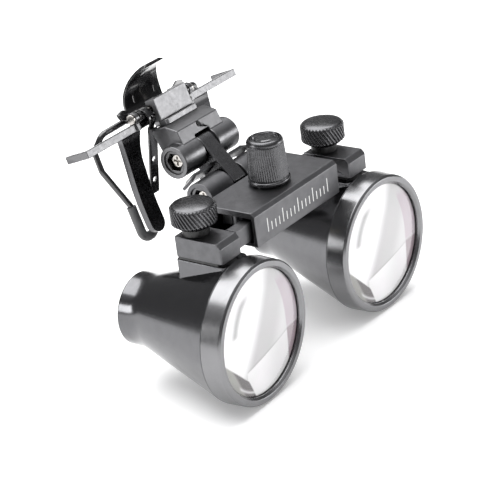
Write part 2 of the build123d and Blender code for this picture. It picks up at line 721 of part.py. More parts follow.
strip_in, strip_out, fold_in = 5.1, 8.1, 6.15     # across the clip; the fold at the top is cut narrower
strip_b, strip_u = 5.1, 9.2                       # where the fold runs into the flat part
for side_name, s in (("left", -1), ("right", 1)):
    with BuildPart() as strip:
        with BuildSketch(clip_side.offset(s * strip_in)):
            with Locations((pivot_b, pivot_u)):
                Circle(1.35)
            with BuildLine():
                ThreePointArc((pivot_b, 14.15), (3.9, 12.2), (strip_b, strip_u))
                Polyline((strip_b, strip_u), (13.4, -6.5), (13.9, -6.25), (strip_b + 0.55, strip_u + 0.15))
                ThreePointArc((strip_b + 0.55, strip_u + 0.15), (4.45, 12.1), (pivot_b, 13.6))
                Line((pivot_b, 13.6), (pivot_b, 14.15))
            make_face()
            with Locations((pivot_b, pivot_u)):
                Circle(pivot_r + 0.02, mode=Mode.SUBTRACT)
        extrude(amount=s * (strip_out - strip_in))
        with BuildSketch(clip_side.offset(s * (strip_in - 0.1))):
            with Locations((strip_b, strip_u + 3.1)):
                Rectangle(4.0, 7.2)
        extrude(amount=s * (fold_in - strip_in + 0.1), mode=Mode.SUBTRACT)
        hole_plane = Plane(origin=clip_point(s * (strip_in + strip_out) / 2, 9.2, 1.8), x_dir=(1, 0, 0),
                           z_dir=Vector(*clip_point(0, 14.9, 7.85)) - Vector(*clip_point(0, 0, 0)))
        with BuildSketch(hole_plane):
            with Locations((0, 0.2), (0, 5.6)):
                Circle(0.65)
        extrude(amount=3.0, both=True, mode=Mode.SUBTRACT)
        with BuildSketch(clip_front.offset(-2.5)):
            with Locations((s * 7.0, 11.2)):
                Circle(0.55)
        extrude(amount=-3.0, mode=Mode.SUBTRACT)
    save(strip, f"{side_name}_strip")

with BuildPart() as base_screws:
    for seat in screw_seats:
        with BuildSketch(seat):
            Circle(screw_r)
        extrude(amount=plate_high - screw_foot)
save(base_screws, "base_screws")

# =====================================================================================
# Sprung lever: plate with ears on the pivot, finger scoop, rear wires and their sleeves
# =====================================================================================
lug_rear, lug_t = 9.3, 0.7        # pointed lugs that stand out beside the plate
with BuildPart() as lever_plate:
    with BuildSketch(clip_side.offset(-9.3)):
        with BuildLine():
            Polyline((8.6, 13.2), (11.0, 13.0), (11.0, 13.8), (8.6, 14.0), (8.6, 13.2))
        make_face()
    extrude(amount=18.6)
    for end in (-1, 1):
        with BuildSketch(clip_side.offset(end * 8.3)):
            with Locations((pivot_b, pivot_u)):
                Circle(1.5)
            with BuildLine():
                Polyline((pivot_b, pivot_u + 1.5), (9.6, 14.0), (11.4, 13.9), (11.4, 12.0),
                         (pivot_b, pivot_u - 1.5), (pivot_b, pivot_u + 1.5))
            make_face()
        extrude(amount=end * 1.0)
        with BuildSketch(clip_front.offset(-lug_rear)):
            with BuildLine():
                Polyline((end * 8.3, 12.0), (end * 8.5, 14.6), (end * 10.3, 15.5), (end * 12.4, 15.0),
                         (end * 12.1, 14.0), (end * 11.7, 13.3), (end * 8.3, 12.0))
            make_face()
        extrude(amount=lug_t)
    with BuildSketch(clip_side):
        with Locations((pivot_b, pivot_u)):
            Circle(pivot_r + running_gap)
    extrude(amount=12.0, both=True, mode=Mode.SUBTRACT)
save(lever_plate, "lever_plate")

slit_w, slit_len = 0.4, 1.7
with BuildPart() as scoop:
    with BuildSketch(clip_side):
        with BuildLine():
            ThreePointArc((11.05, 13.0), (9.6, 18.9), (3.2, 22.4))
            Line((3.2, 22.4), (3.4, 23.1))
            ThreePointArc((3.4, 23.1), (10.2, 19.3), (11.8, 13.0))
            Line((11.8, 13.0), (11.05, 13.0))
        make_face()
    extrude(amount=7.0, both=True)
    with BuildSketch(clip_front.offset(-14.0)):
        with BuildLine():
            Polyline((-6.8, 12.5), (6.8, 12.5), (6.8, 14.5))
            ThreePointArc((6.8, 14.5), (5.9, 19.2), (3.4, 22.6))
            ThreePointArc((3.4, 22.6), (0, 23.6), (-3.4, 22.6))
            ThreePointArc((-3.4, 22.6), (-5.9, 19.2), (-6.8, 14.5))
            Line((-6.8, 14.5), (-6.8, 12.5))
        make_face()
    extrude(amount=12.0, mode=Mode.INTERSECT)
    with BuildSketch(clip_front.offset(-14.0)):
        with Locations((-3.35, 16.2), (4.35, 16.2)):
            Rectangle(slit_w, slit_len)
    extrude(amount=12.0, mode=Mode.SUBTRACT)
save(scoop, "finger_lever")

for side_name, s in (("left", -1), ("right", 1)):
    route = [(9.35, 10.6, 12.6), (17.6, 10.9, 12.4), (19.8, 13.1, 9.4), (20.0, 13.2, 4.4),
             (16.2, 12.9, -6.2), (15.8, 13.6, -14.6), (11.4, 13.6, -14.6), (11.2, 13.4, -8.6)]
    points = [clip_point(s * x, b, u) for x, b, u in route]
    radii = [2.2, 1.8, 2.4, 3.0, 2.0, 2.0]
    with BuildPart() as wire:
        with BuildLine() as wire_path:
            FilletPolyline(*points, radius=radii)
        start = wire_path.line @ 0
        with BuildSketch(Plane(origin=start, z_dir=wire_path.line % 0)):
            Circle(wire_r)
        sweep(path=wire_path.line)
    save(wire, f"{side_name}_wire")

    with BuildPart() as sleeve:
        with BuildLine() as sleeve_path:
            FilletPolyline(*points[4:], radius=radii[4:])
        start = sleeve_path.line @ 0
        with BuildSketch(Plane(origin=start, z_dir=sleeve_path.line % 0)):
            Circle(sleeve_r)
            Circle(wire_r + 0.02, mode=Mode.SUBTRACT)
        sweep(path=sleeve_path.line)
    save(sleeve, f"{side_name}_sleeve")
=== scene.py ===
"""Looks of the clip-on binocular loupe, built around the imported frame.

Lengths in this file are in millimetres in the frame's own axes (+Z up, lenses face -Y), turned into metres by MM.
Clip coordinates are (x, b, u): x across, b back and u up from the upper hinge axis, in planes that lean back
20 degrees.
"""

import json
from math import cos, exp, hypot, pi, radians, sin

import bmesh
import bpy
from mathutils import Matrix, Vector


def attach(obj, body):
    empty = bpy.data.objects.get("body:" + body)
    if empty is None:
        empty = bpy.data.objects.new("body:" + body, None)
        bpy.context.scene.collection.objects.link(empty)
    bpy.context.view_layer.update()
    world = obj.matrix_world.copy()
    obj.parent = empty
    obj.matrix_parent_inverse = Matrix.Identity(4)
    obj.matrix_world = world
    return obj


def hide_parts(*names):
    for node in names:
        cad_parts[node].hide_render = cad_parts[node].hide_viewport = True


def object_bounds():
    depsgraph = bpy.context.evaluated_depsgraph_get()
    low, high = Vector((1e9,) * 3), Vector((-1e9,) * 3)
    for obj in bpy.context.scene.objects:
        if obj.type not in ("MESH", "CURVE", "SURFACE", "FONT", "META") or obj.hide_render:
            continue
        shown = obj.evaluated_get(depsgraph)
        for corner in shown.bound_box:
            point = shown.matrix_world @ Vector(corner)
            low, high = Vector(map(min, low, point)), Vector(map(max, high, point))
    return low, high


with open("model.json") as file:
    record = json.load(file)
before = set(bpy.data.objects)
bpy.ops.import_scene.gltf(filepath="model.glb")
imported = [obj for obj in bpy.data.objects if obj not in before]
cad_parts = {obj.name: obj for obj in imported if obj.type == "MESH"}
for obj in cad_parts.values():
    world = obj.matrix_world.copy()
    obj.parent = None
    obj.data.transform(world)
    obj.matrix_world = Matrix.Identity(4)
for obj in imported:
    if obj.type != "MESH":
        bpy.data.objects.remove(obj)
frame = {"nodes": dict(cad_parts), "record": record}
cad_box = [list(corner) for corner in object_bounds()]
nodes = frame["nodes"]
slot_of = {name: node.data.materials[0].name for name, node in nodes.items()}
body_of = {name: body for body, names in frame["record"]["behaviour"]["bodies"].items() for name in names}

MM = 0.001
SIDES = (("left", -1), ("right", 1))
RIM_Y, AXIS_Z, RIM_X, TOE_IN = -41.0, -22.4, 25.2, radians(1.5)
CLAMP_X, CLAMP_Y = 25.6, -25.5
KNOB_Y = -27.8
UPPER_Y, UPPER_Z = -8.3, 8.3
TILT_SIN, TILT_COS = sin(radians(20)), cos(radians(20))
PIVOT_B, PIVOT_U = 6.5, 12.8
LIT_BARS_ABOVE = 0.0141           # the clip's bars, painted lighter as a painted highlight, lie above this height, in metres
EDGE_WEAR_AND_HIGHLIGHT = 0.14              # how far from an edge a finish is rubbed bright, for wear and painted highlights
LENS_R, LENS_FRONT, LENS_REAR = 15.35, 0.3, 4.25
DOME_R = 124.5                # sphere of an objective's front
GROUP_R, RIM_SHADE_R = 15.2, 14.55
# colours of the painted reflections and painted shade in the glass groups behind the objectives
CORNER_REFLECTION_GREY, CORNER_REFLECTION_BROWN, RIM_SHADE_BLACK = (0.27, 0.27, 0.25), (0.085, 0.075, 0.075), (0.012, 0.012, 0.012)
PALE_MAUVE_REFLECTION, DARK_MAUVE_REFLECTION = (0.42, 0.36, 0.4), (0.22, 0.16, 0.185)


def clip_point(x, b, u):
    """Frame point, in metres, of clip coordinates."""
    return Vector((x, UPPER_Y + b * TILT_COS + u * TILT_SIN, UPPER_Z - b * TILT_SIN + u * TILT_COS)) * MM


def smooth(low, high, value):
    """0 below low, 1 above high, and an even curve between."""
    t = min(1.0, max(0.0, (value - low) / (high - low)))
    return t * t * (3 - 2 * t)


# =====================================================================================
# Materials
# =====================================================================================
class Graph:
    """Short calls for a material's node tree, around its Principled shader. It may wrap a finished material."""

    def __init__(self, name, material=None):
        self.material = material or bpy.data.materials.new(name)
        self.material.use_nodes = True
        self.tree = self.material.node_tree
        self.shader = self.tree.nodes["Principled BSDF"]
        self.coordinates = self.tree.nodes.new("ShaderNodeTexCoord").outputs["Object"]

    def put(self, socket, value):
        if isinstance(value, bpy.types.NodeSocket):
            self.tree.links.new(value, socket)
        elif isinstance(value, (tuple, list)) and len(value) == 3 and socket.type == "RGBA":
            socket.default_value = (*value, 1.0)
        else:
            socket.default_value = value

    def node(self, kind, output=0, settings=(), **inputs):
        made = self.tree.nodes.new(kind)
        for key, value in settings:
            setattr(made, key, value)
        for key, value in inputs.items():
            self.put(made.inputs[key.replace("_", " ")], value)
        return made.outputs[output]

    def noise(self, size, detail=3.0, rough=0.55, stretch=None, distortion=0.0):
        """Noise between 0 and 1 whose features are about size millimetres."""
        vector = self.coordinates
        if stretch:
            vector = self.node("ShaderNodeMapping", Vector=vector, Scale=stretch)
        return self.node("ShaderNodeTexNoise", Vector=vector, Scale=1.0 / (size * MM), Detail=detail,
                         Roughness=rough, Distortion=distortion)

    def span(self, value, low, high, out_low, out_high):
        return self.node("ShaderNodeMapRange", Value=value, From_Min=low, From_Max=high, To_Min=out_low,
                         To_Max=out_high)

    def mix(self, factor, first, second):
        made = self.tree.nodes.new("ShaderNodeMix")
        made.data_type = "RGBA"
        for socket, value in ((made.inputs[0], factor), (made.inputs[6], first), (made.inputs[7], second)):
            self.put(socket, value)
        return made.outputs[2]

    def edges(self, radius, low=0.02, high=0.22):
        """1 along convex and concave edges, found by how far a rounded normal leaves the true one."""
        rounded = self.node("ShaderNodeBevel", settings=(("samples", 4),), Radius=radius * MM)
        made = self.tree.nodes.new("ShaderNodeVectorMath")
        made.operation = "DOT_PRODUCT"
        self.put(made.inputs[0], rounded)
        self.put(made.inputs[1], self.node("ShaderNodeNewGeometry", output="Normal"))
        return self.span(made.outputs["Value"], 1.0 - low, 1.0 - high, 0.0, 1.0)

    def bump(self, height, distance, strength=1.0):
        return self.node("ShaderNodeBump", Height=height, Distance=distance * MM, Strength=strength)


def finish(name, colour, metallic, rough, mottle=0.12, grain=None, depth=0.004, rough_swing=0.06, wear_and_highlight=None,
           wear_and_highlight_share=0.5, stretch=None, coat=0.0, specular=0.5):
    """A coated or bare metal, plastic or rubber: mottled colour, uneven gloss, fine grain, and edges lighter for wear
    and painted highlights.
    """
    g = Graph(name)
    s = g.shader
    cloud = g.noise(2.4, detail=5.0, rough=0.6)
    colour = g.mix(g.span(cloud, 0.3, 0.7, 0.0, 1.0), tuple(c * (1 - mottle) for c in colour),
                   tuple(c * (1 + mottle) for c in colour))
    fine = g.noise(grain or 0.12, detail=2.0, rough=0.5, stretch=stretch)
    roughness = g.span(g.noise(0.9, detail=6.0, rough=0.65), 0.3, 0.7, rough - rough_swing, rough + rough_swing)
    # edges painted lighter: partly wear, partly painted highlights
    if wear_and_highlight:
        rub_and_highlight = g.tree.nodes.new("ShaderNodeMath")
        rub_and_highlight.operation = "MULTIPLY"
        g.put(rub_and_highlight.inputs[0], g.edges(EDGE_WEAR_AND_HIGHLIGHT))
        g.put(rub_and_highlight.inputs[1], g.span(g.noise(0.35, detail=4.0), 0.35, 0.62, 1.0 - wear_and_highlight_share, 1.0))
        colour = g.mix(rub_and_highlight.outputs[0], colour, wear_and_highlight)
    g.put(s.inputs["Base Color"], colour)
    g.put(s.inputs["Roughness"], roughness)
    s.inputs["Metallic"].default_value = metallic
    s.inputs["Coat Weight"].default_value = coat
    s.inputs["Coat Roughness"].default_value = 0.08
    s.inputs["Specular IOR Level"].default_value = specular
    if grain:
        g.put(s.inputs["Normal"], g.bump(fine, depth))
    return g.material


def coated_glass(name, tint, rough):
    """Clear optical glass with a faint magenta reflex, which lets lamps light what is behind it."""
    g = Graph(name)
    s = g.shader
    smear = g.noise(5.0, detail=4.0)
    g.put(s.inputs["Base Color"], g.mix(g.span(smear, 0.35, 0.7, 0.0, 1.0), tint, (0.99, 0.97, 0.99)))
    g.put(s.inputs["Roughness"], g.span(smear, 0.3, 0.7, rough, rough * 2.0))
    s.inputs["Transmission Weight"].default_value = 1.0
    s.inputs["IOR"].default_value = 1.5
    s.inputs["Coat Weight"].default_value = 0.1
    s.inputs["Coat Tint"].default_value = (1.0, 0.94, 0.98, 1.0)
    clear = g.tree.nodes.new("ShaderNodeBsdfTransparent")
    chooser = g.tree.nodes.new("ShaderNodeMixShader")
    g.put(chooser.inputs[0], g.node("ShaderNodeLightPath", output="Is Shadow Ray"))
    g.put(chooser.inputs[1], s.outputs[0])
    g.put(chooser.inputs[2], clear.outputs[0])
    g.put(g.tree.nodes["Material Output"].inputs["Surface"], chooser.outputs[0])
    return g.material


def painted_inner_reflections(name):
    """Glass group behind an objective, bright with painted reflections and a painted glow; tones from the mesh's own
    attribute.
    """
    g = Graph(name)
    s = g.shader
    tone = g.node("ShaderNodeAttribute", output="Color", settings=(("attribute_name", "tone"),))
    haze = g.noise(3.0, detail=4.0)
    colour = g.mix(g.span(haze, 0.3, 0.7, 0.0, 0.06), tone, (0.4, 0.39, 0.41))
    g.put(s.inputs["Base Color"], colour)
    # painted glow: the glass group gives off light of its own, though it is no lamp
    g.put(s.inputs["Emission Color"], colour)
    s.inputs["Emission Strength"].default_value = 0.3
    g.put(s.inputs["Roughness"], g.span(haze, 0.3, 0.7, 0.12, 0.2))
    s.inputs["Coat Weight"].default_value = 0.6
    s.inputs["Coat Roughness"].default_value = 0.03
    return g.material


MATERIALS = {
    "satin_black": finish("satin_black", (0.11, 0.11, 0.114), 1.0, 0.28, grain=0.11, depth=0.005,
                          wear_and_highlight=(0.2, 0.2, 0.21), wear_and_highlight_share=0.75),
    "bead_blasted_black": finish("bead_blasted_black", (0.12, 0.12, 0.125), 1.0, 0.4, grain=0.09, depth=0.007,
                                 wear_and_highlight=(0.22, 0.22, 0.23), wear_and_highlight_share=0.7),
    "satin_grey": finish("satin_grey", (0.2, 0.2, 0.205), 1.0, 0.36, mottle=0.06, grain=0.1, depth=0.004,
                         wear_and_highlight=(0.4, 0.4, 0.41), wear_and_highlight_share=0.6),
    "gloss_black": finish("gloss_black", (0.012, 0.012, 0.013), 0.0, 0.16, grain=0.3, depth=0.001, coat=0.9),
    "barrel_black": finish("barrel_black", (0.12, 0.12, 0.125), 1.0, 0.17, mottle=0.06, grain=0.5, depth=0.002,
                           rough_swing=0.03),
    # the bezel's pale edges are painted highlights
    "bezel_black": finish("bezel_black", (0.2, 0.2, 0.205), 1.0, 0.24, mottle=0.04, grain=0.08, depth=0.001,
                          rough_swing=0.03, wear_and_highlight=(0.62, 0.62, 0.63), wear_and_highlight_share=0.15),
    # the knurl's bright edges are painted highlights
    "knurled_black": finish("knurled_black", (0.1, 0.1, 0.104), 1.0, 0.26, grain=0.1, depth=0.002,
                            wear_and_highlight=(0.5, 0.5, 0.51), wear_and_highlight_share=0.5),
    "bright_steel": finish("bright_steel", (0.5, 0.48, 0.455), 1.0, 0.2, mottle=0.05, grain=0.2, depth=0.003),
    "spring_steel": finish("spring_steel", (0.12, 0.12, 0.124), 1.0, 0.32, grain=0.12, depth=0.004,
                           stretch=(0.15, 1.0, 1.0)),
    "brass": finish("brass", (0.68, 0.5, 0.2), 1.0, 0.25, grain=0.15, depth=0.003),
    "sleeve_rubber": finish("sleeve_rubber", (0.09, 0.09, 0.092), 0.0, 0.55, grain=0.14, depth=0.01,
                            specular=0.6),
    "nylon_black": finish("nylon_black", (0.02, 0.02, 0.02), 0.0, 0.45, grain=0.2, depth=0.004),
    "matt_black": finish("matt_black", (0.008, 0.008, 0.008), 0.0, 0.75, grain=0.15, depth=0.01),
    "coated_glass": coated_glass("coated_glass", (0.97, 0.99, 0.98), 0.01),
}


def sheet_with_painted_light(name, front, lit_flank, bar):
    """Blackened sheet with painted light: faces turned sideways, and the bars up high, are painted lighter than the
    front faces.
    """
    material = finish(name, front, 1.0, 0.28, mottle=0.06, grain=0.12, depth=0.003)
    g = Graph(name, material)
    # painted highlight: faces turned along X take the lighter colour
    normal = g.node("ShaderNodeSeparateXYZ", Vector=g.node("ShaderNodeTexCoord", output="Normal"))
    across = g.node("ShaderNodeMath", settings=(("operation", "ABSOLUTE"),), Value=normal)
    height = g.node("ShaderNodeSeparateXYZ", output="Z", Vector=g.coordinates)
    base = g.shader.inputs["Base Color"].links[0].from_socket
    face_lit_colour = g.mix(g.span(across, 0.4, 0.75, 0.0, 1.0), base, lit_flank)
    # painted highlight: the bars up high are painted lighter still
    lit_bar_mask = g.span(height, LIT_BARS_ABOVE - 0.0003, LIT_BARS_ABOVE + 0.0003, 0.0, 1.0)
    g.put(g.shader.inputs["Base Color"], g.mix(lit_bar_mask, face_lit_colour, bar))
    return material


# a lighter copy of satin black: painted light for the bracket's lit front face
LIT_BRACKET = finish("bracket_black_painted_lit", (0.16, 0.16, 0.165), 1.0, 0.34, grain=0.11, depth=0.004)
LIT_SHEET = sheet_with_painted_light("clip_sheet_painted_light", (0.03, 0.03, 0.032), (0.11, 0.11, 0.114), (0.15, 0.15, 0.154))
PRINT_WHITE = finish("print_white", (0.78, 0.78, 0.77), 0.0, 0.5, mottle=0.05, grain=0.15, depth=0.003)
PAINTED_REFLECTIONS = painted_inner_reflections("painted_inner_reflections")


def paint(piece, material):
    piece.data.materials.clear()
    piece.data.materials.append(material)
    return piece


# =====================================================================================
# Mesh tools
# =====================================================================================
def solid(name, bm, body, slot, smooth_faces=True):
    """A finished piece from a bmesh in metres: shaded, painted and riding on its body."""
    bmesh.ops.recalc_face_normals(bm, faces=bm.faces)
    mesh = bpy.data.meshes.new(name)
    bm.to_mesh(mesh)
    bm.free()
    mesh.polygons.foreach_set("use_smooth", [smooth_faces] * len(mesh.polygons))
    piece = bpy.data.objects.new(name, mesh)
    bpy.context.scene.collection.objects.link(piece)
    paint(piece, MATERIALS[slot])
    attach(piece, body)
    return piece


def round_edges(piece, width, segments=3, angle=34.0):
    """Rounds a piece's edges, and keeps its flat faces flat to the light."""
    bevel = piece.modifiers.new("edges", "BEVEL")
    bevel.width = width * MM
    bevel.segments = segments
    bevel.limit_method = "ANGLE"
    bevel.angle_limit = radians(angle)
    bevel.use_clamp_overlap = False
    bevel.harden_normals = True
    bevel.miter_outer = "MITER_ARC"
    return piece


def welded(node):
    """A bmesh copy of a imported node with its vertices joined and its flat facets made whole."""
    bm = bmesh.new()
    source = nodes[node].data
    made = [bm.verts.new(v.co) for v in source.vertices]
    for polygon in source.polygons:
        bm.faces.new([made[i] for i in polygon.vertices])
    bmesh.ops.remove_doubles(bm, verts=bm.verts, dist=1.5e-6)
    bmesh.ops.dissolve_limit(bm, angle_limit=radians(0.5), verts=bm.verts, edges=bm.edges)
    return bm


def soften(node, width, segments=3, angle=34.0):
    """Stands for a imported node: the same shape with rounded edges."""
    piece = solid(f"{node}_shape", welded(node), body_of[node], slot_of[node])
    round_edges(piece, width, segments, angle)
    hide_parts(node)
    return piece


def lathe(name, profile, place, body, slot, segments=96, shape=None):
    """A surface of revolution about place's Z from (r, z) points, in millimetres.

    shape(angle, r, z) may move a ring's point and returns (r, z).
    """
    bm = bmesh.new()
    rings = []
    for r, z in profile:
        if r < 1e-6:
            rings.append([bm.verts.new(place @ (Vector((0, 0, z)) * MM))] * segments)
            continue
        ring = []
        for i in range(segments):
            a = 2 * pi * i / segments
            r1, z1 = shape(a, r, z) if shape else (r, z)
            ring.append(bm.verts.new(place @ (Vector((r1 * cos(a), r1 * sin(a), z1)) * MM)))
        rings.append(ring)
    for low, high in zip(rings, rings[1:]):
        for i in range(segments):
            j = (i + 1) % segments
            corners = [low[i], low[j], high[j], high[i]]
            unique = [v for k, v in enumerate(corners) if v not in corners[:k]]
            if len(unique) > 2:
                bm.faces.new(unique)
    return solid(name, bm, body, slot)


def tube(name, path, radius, body, slot, sides=20):
    """A round bar along points in metres, with its radius in millimetres."""
    bm = bmesh.new()
    count = len(path)
    normal = None
    rings = []
    for i, p in enumerate(path):
        ahead = (path[min(i + 1, count - 1)] - path[max(i - 1, 0)]).normalized()
        if normal is None:
            normal = ahead.orthogonal().normalized()
        normal = (normal - ahead * normal.dot(ahead)).normalized()
        across = ahead.cross(normal)
        rings.append([bm.verts.new(p + (normal * cos(a) + across * sin(a)) * radius * MM)
                      for a in (2 * pi * k / sides for k in range(sides))])
    for low, high in zip(rings, rings[1:]):
        for k in range(sides):
            bm.faces.new([low[k], low[(k + 1) % sides], high[(k + 1) % sides], high[k]])
    bm.faces.new(rings[0])
    bm.faces.new(rings[-1])
    return solid(name, bm, body, slot)


def upright(x, y):
    """A place whose Z is the frame's Z, through (x, y) in millimetres, at the height of the optical axes."""
    return Matrix.Translation(Vector((x, y, AXIS_Z)) * MM)


def optic_place(s):
    """A place at a rim's centre, with Z running back along the barrel's converging axis and X up."""
    back = Vector((s * sin(TOE_IN), cos(TOE_IN), 0))
    up = Vector((0, 0, 1))
    turned = Matrix((up, back.cross(up), back)).transposed().to_4x4()
    return Matrix.Translation(Vector((s * RIM_X, RIM_Y, AXIS_Z)) * MM) @ turned


# =====================================================================================
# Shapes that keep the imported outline, with rounded edges
# =====================================================================================
ROUNDING = {
    "hinge_bracket": 0.22, "clip_base": 0.15, "clip_block": 0.16, "clip_frame": 0.14, "pivot_pin": 0.12,
    "base_screws": 0.1, "upper_hinge_screw": 0.12, "lower_hinge_screw": 0.12, "upper_hinge_nut": 0.1,
    "lower_hinge_nut": 0.1, "upper_socket_rings": 0.1, "lower_socket_rings": 0.1, "hinge_link": 0.3,
    "stop_leaf": 0.1, "lever_plate": 0.1, "finger_lever": 0.18, "bridge_housing": 0.2, "bridge_cover": 0.1,
    "cover_screws": 0.06, "knob_bush": 0.12,
}
for side, s in SIDES:
    ROUNDING.update({f"{side}_strip": 0.1, f"{side}_barrel": 0.18, f"{side}_bezel": 0.12, f"{side}_slider": 0.16,
                     f"{side}_swivel_washer": 0.08, f"{side}_clamp_collar": 0.1, f"{side}_eye_ring": 0.08})
# the clip frame and the hinge bracket take finishes with painted light
OWN_FINISH = {"clip_frame": LIT_SHEET, "hinge_bracket": LIT_BRACKET, "left_clamp_collar": MATERIALS["nylon_black"],
              "right_clamp_collar": MATERIALS["nylon_black"]}
for node, width in ROUNDING.items():
    shape = soften(node, width)
    paint(shape, OWN_FINISH.get(node, MATERIALS[slot_of[node]]))

# =====================================================================================
# Clamp screws: domed heads with a slanting coarse knurl
# =====================================================================================
KNURLS = 36
HEAD_LOW, BAND_TOP, HEAD_TOP = 24.4, 29.1, 30.2
HEAD_R, HEAD_DOME_R, HEAD_DOME_LOW = 5.35, 4.85, 29.6
KNURL_DEPTH, KNURL_LEAN = 0.55, 0.11


def slanted_knurl(angle, r, z):
    """Grooves that lean round the head between its two chamfers."""
    inside = smooth(HEAD_LOW + 0.5, HEAD_LOW + 1.2, z) * (1 - smooth(BAND_TOP - 0.05, BAND_TOP + 0.3, z))
    phase = KNURLS * (angle + KNURL_LEAN * (z - HEAD_LOW)) / 2
    return r - KNURL_DEPTH * inside * (1 - abs(sin(phase))) ** 1.4, z


band = [(HEAD_R, HEAD_LOW + 1.15 + 3.5 * k / 20) for k in range(21)]
dome_rise = [(HEAD_DOME_R * cos(t), HEAD_DOME_LOW + (HEAD_TOP - HEAD_DOME_LOW) * sin(t))
             for t in (radians(9 * k) for k in range(1, 10))]
head_profile = ([(1.52, 24.42), (3.8, 24.42), (3.95, 24.48), (4.5, 24.92), (5.0, 25.3), (5.25, 25.45)] + band
                + [(5.33, 29.12), (5.26, 29.25), (4.98, 29.52), (HEAD_DOME_R, HEAD_DOME_LOW)]
                + dome_rise + [(0, HEAD_TOP)])
for side, s in SIDES:
    head = lathe(f"{side}_clamp_head_knurled", head_profile, upright(s * CLAMP_X, CLAMP_Y), f"{side}_clamp",
                 "knurled_black", segments=KNURLS * 14, shape=slanted_knurl)
    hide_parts(f"{side}_clamp_head")

# =====================================================================================
# Focus knob: tapered, finely knurled, with a slotted cap
# =====================================================================================
KNOB_RIBS = 52


def fine_knurl(angle, r, z):
    """Fine, slightly wandering upright grooves below the knob's smooth top ring."""
    inside = smooth(26.5, 26.9, z) * (1 - smooth(34.4, 34.65, z))
    wander = 0.05 * sin(2.3 * z + 5 * sin(angle * 3))
    phase = KNOB_RIBS * (angle + 0.012 * (z - 26.5) + 0.1 * wander) / 2
    return r - 0.2 * inside * (1 - abs(sin(phase))), z


wall = [(4.8 - 0.42 * k / 24, 26.5 + 8.1 * k / 24) for k in range(25)]
knob_profile = ([(1.52, 25.42), (4.85, 25.42), (5.0, 25.55), (5.0, 26.0), (4.86, 26.18), (4.72, 26.25), (4.72, 26.42)]
                + wall + [(4.26, 34.68), (4.26, 34.78), (4.36, 34.88), (4.36, 35.1), (4.28, 35.4), (3.98, 35.82),
                          (3.75, 35.97), (3.55, 36.0), (3.48, 35.92), (3.44, 35.12), (0, 35.1)])
knob = lathe("focus_knob_knurled", knob_profile, upright(0, KNOB_Y), "knob", "knurled_black",
             segments=KNOB_RIBS * 10, shape=fine_knurl)
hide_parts("focus_knob")


def arc_slots(angle, r, z):
    """Four short arc slots near the cap's rim, for a pin wrench."""
    turn = (angle / (pi / 2)) % 1.0
    along = smooth(0.18, 0.2, turn) * (1 - smooth(0.8, 0.82, turn))
    inside = along * smooth(2.42, 2.46, r) * (1 - smooth(2.98, 3.02, r))
    return r, z - 0.42 * inside


cap_profile = [(3.35, 35.15), (3.35, 35.78), (3.28, 35.85)] + [
    (r, 35.86) for r in (3.1, 3.04, 3.0, 2.96, 2.7, 2.48, 2.44, 2.4, 1.6, 0.8)] + [(0, 35.86)]
cap = lathe("knob_cap_slotted", cap_profile, upright(0, KNOB_Y), "knob", "satin_black", segments=240, shape=arc_slots)
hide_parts("knob_cap")

# =====================================================================================
# Lever spring: a close coil round the pivot pin
# =====================================================================================
coil_turns, coil_half, coil_r = 14, 4.1, 1.2
coil_path = []
for k in range(coil_turns * 24 + 1):
    turn = 2 * pi * k / 24
    x = -coil_half + 2 * coil_half * k / (coil_turns * 24)
    coil_path.append(clip_point(x, PIVOT_B + coil_r * cos(turn), PIVOT_U + coil_r * sin(turn)))
spring = tube("lever_spring_coil", coil_path, 0.22, "clip", "spring_steel", sides=10)
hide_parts("lever_spring")

# =====================================================================================
# Glass groups behind the objectives, bright with painted reflections and a painted glow
# =====================================================================================


def painted_lens_light(x, z):
    """Painted reflections, shade and glints in a lens at (x, z) millimetres from its middle, seen from the front."""
    split = x + 5.15 - 0.589 * z                      # left of this the glass is painted white, a painted reflection
    grey = 0.84 - 0.36 * smooth(-0.4, 4.2, split) + 0.1 * smooth(9.0, 14.0, split)
    line = z + 5.5 - 0.1975 * x                       # a painted straight refraction edge low in the glass
    right_of_foot = smooth(-7.3, -6.9, x)
    below = (1 - smooth(-0.12, 0.12, line)) * right_of_foot
    grey = grey * (1 - below) + (0.74 - 0.12 * smooth(-3, 6, x)) * below
    grey -= 0.14 * exp(-(line / 0.35) ** 2) * right_of_foot * (1 - below)
    # a painted dark arc inside the upper-left rim
    painted_dark_arc = exp(-((hypot(x - 4.2, z + 1.2) - 14.7) / 0.95) ** 2)
    grey -= 0.42 * painted_dark_arc * smooth(2.4, 3.6, z) * (1 - smooth(9.5, 11.8, z)) * (1 - smooth(-1.5, 0.5, x))
    colour = Vector((grey, grey, grey))
    # a painted mauve reflection of the coating, at the right of the glass
    band = smooth(-0.2, 0.2, x - 9.4 + 0.02 * max(z, 0.0) ** 2) * (1 - smooth(8.5, 11.0, z))
    colour = colour.lerp(Vector(PALE_MAUVE_REFLECTION), 0.8 * band * smooth(-3.6, -2.6, z))
    colour = colour.lerp(Vector(DARK_MAUVE_REFLECTION), 0.85 * band * (1 - smooth(-3.6, -3.0, z)))
    edge = x + 7.8 + 0.46 * (z + 6.8)                 # the painted dark corner, a painted reflection, lies left of this and below the next
    corner = (1 - smooth(-0.15, 0.15, edge)) * (1 - smooth(-0.15, 0.15, z + 1.0 + 1.0 * (x + 14.9)))
    shade = Vector(CORNER_REFLECTION_GREY).lerp(Vector(CORNER_REFLECTION_BROWN), smooth(-3.2, -2.4, edge))
    # a painted glint along the rim in the lower-left corner
    glint = exp(-((hypot(x, z) - 13.7) / 0.3) ** 2) * smooth(-10.5, -9.5, x)
    colour = colour.lerp(shade.lerp(Vector((0.6, 0.6, 0.6)), glint), corner)
    # painted shade under the rim's lip: black towards the edge
    return colour.lerp(Vector(RIM_SHADE_BLACK), smooth(RIM_SHADE_R, RIM_SHADE_R + 0.2, hypot(x, z)))


